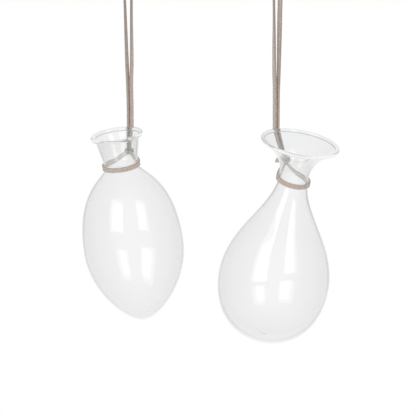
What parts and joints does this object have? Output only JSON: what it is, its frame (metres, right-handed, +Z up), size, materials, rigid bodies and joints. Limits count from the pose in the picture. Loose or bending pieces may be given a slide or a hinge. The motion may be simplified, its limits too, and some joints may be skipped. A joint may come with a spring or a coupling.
{
  "type": "hanging propagation vase set",
  "caption": "Hanging blown-glass propagation vases, an almond and a teardrop with flared mouths, each tied round its neck with a flat suede lace and hung from a screw-in hook.",
  "frame": {"origin": "on the left hook's shank, in the plane that both hooks are screwed into", "axes": "+Z up, +X from the left vase to the right vase, +Y away from the viewer"},
  "size_m": [0.2165, 0.117, 0.3524],
  "materials": {
    "clear_glass": "clear blown glass, fire-polished",
    "suede": "flat suede lace, soft nap, taupe",
    "hook_steel": "bent wire, satin zinc"
  },
  "bodies": {
    "hooks": {"left_hook": "hook_steel", "right_hook": "hook_steel"},
    "left_lace": {"left_hanging_loop": "suede"},
    "left_collar": {"left_neck_collar": "suede", "left_knot": "suede", "left_lace_ends": "suede"},
    "left_vase": {"left_vessel": "clear_glass"},
    "right_lace": {"right_hanging_loop": "suede"},
    "right_collar": {"right_neck_collar": "suede", "right_knot": "suede", "right_lace_ends": "suede"},
    "right_vase": {"right_vessel": "clear_glass"}
  },
  "joints": [
    {"name": "left_swing", "type": "hinge", "parent": "hooks", "child": "left_lace", "pos_m": [0, 0, -0.02731], "axis": [0.4415, 0.8973, 0], "range_deg": [-3, 30]},
    {"name": "left_nod", "type": "hinge", "parent": "left_lace", "child": "left_collar", "pos_m": [0.00156, -0.00124, -0.17069], "axis": [0.8973, -0.4415, 0], "range_deg": [0, 25]},
    {"name": "left_turn", "type": "hinge", "parent": "left_collar", "child": "left_vase", "pos_m": [-0.00913, -0.02233, -0.15507], "axis": [-0.1321, -0.2297, 0.9643], "continuous": true},
    {"name": "right_swing", "type": "hinge", "parent": "hooks", "child": "right_lace", "pos_m": [0.1256, 0, -0.02731], "axis": [-0.5446, 0.8387, 0], "range_deg": [-30, 3]},
    {"name": "right_nod", "type": "hinge", "parent": "right_lace", "child": "right_collar", "pos_m": [0.13145, -0.00802, -0.17938], "axis": [0.8387, 0.5446, 0], "range_deg": [0, 25]},
    {"name": "right_turn", "type": "hinge", "parent": "right_collar", "child": "right_vase", "pos_m": [0.1444, -0.02863, -0.16176], "axis": [0.1631, -0.2868, 0.944], "continuous": true}
  ]
}
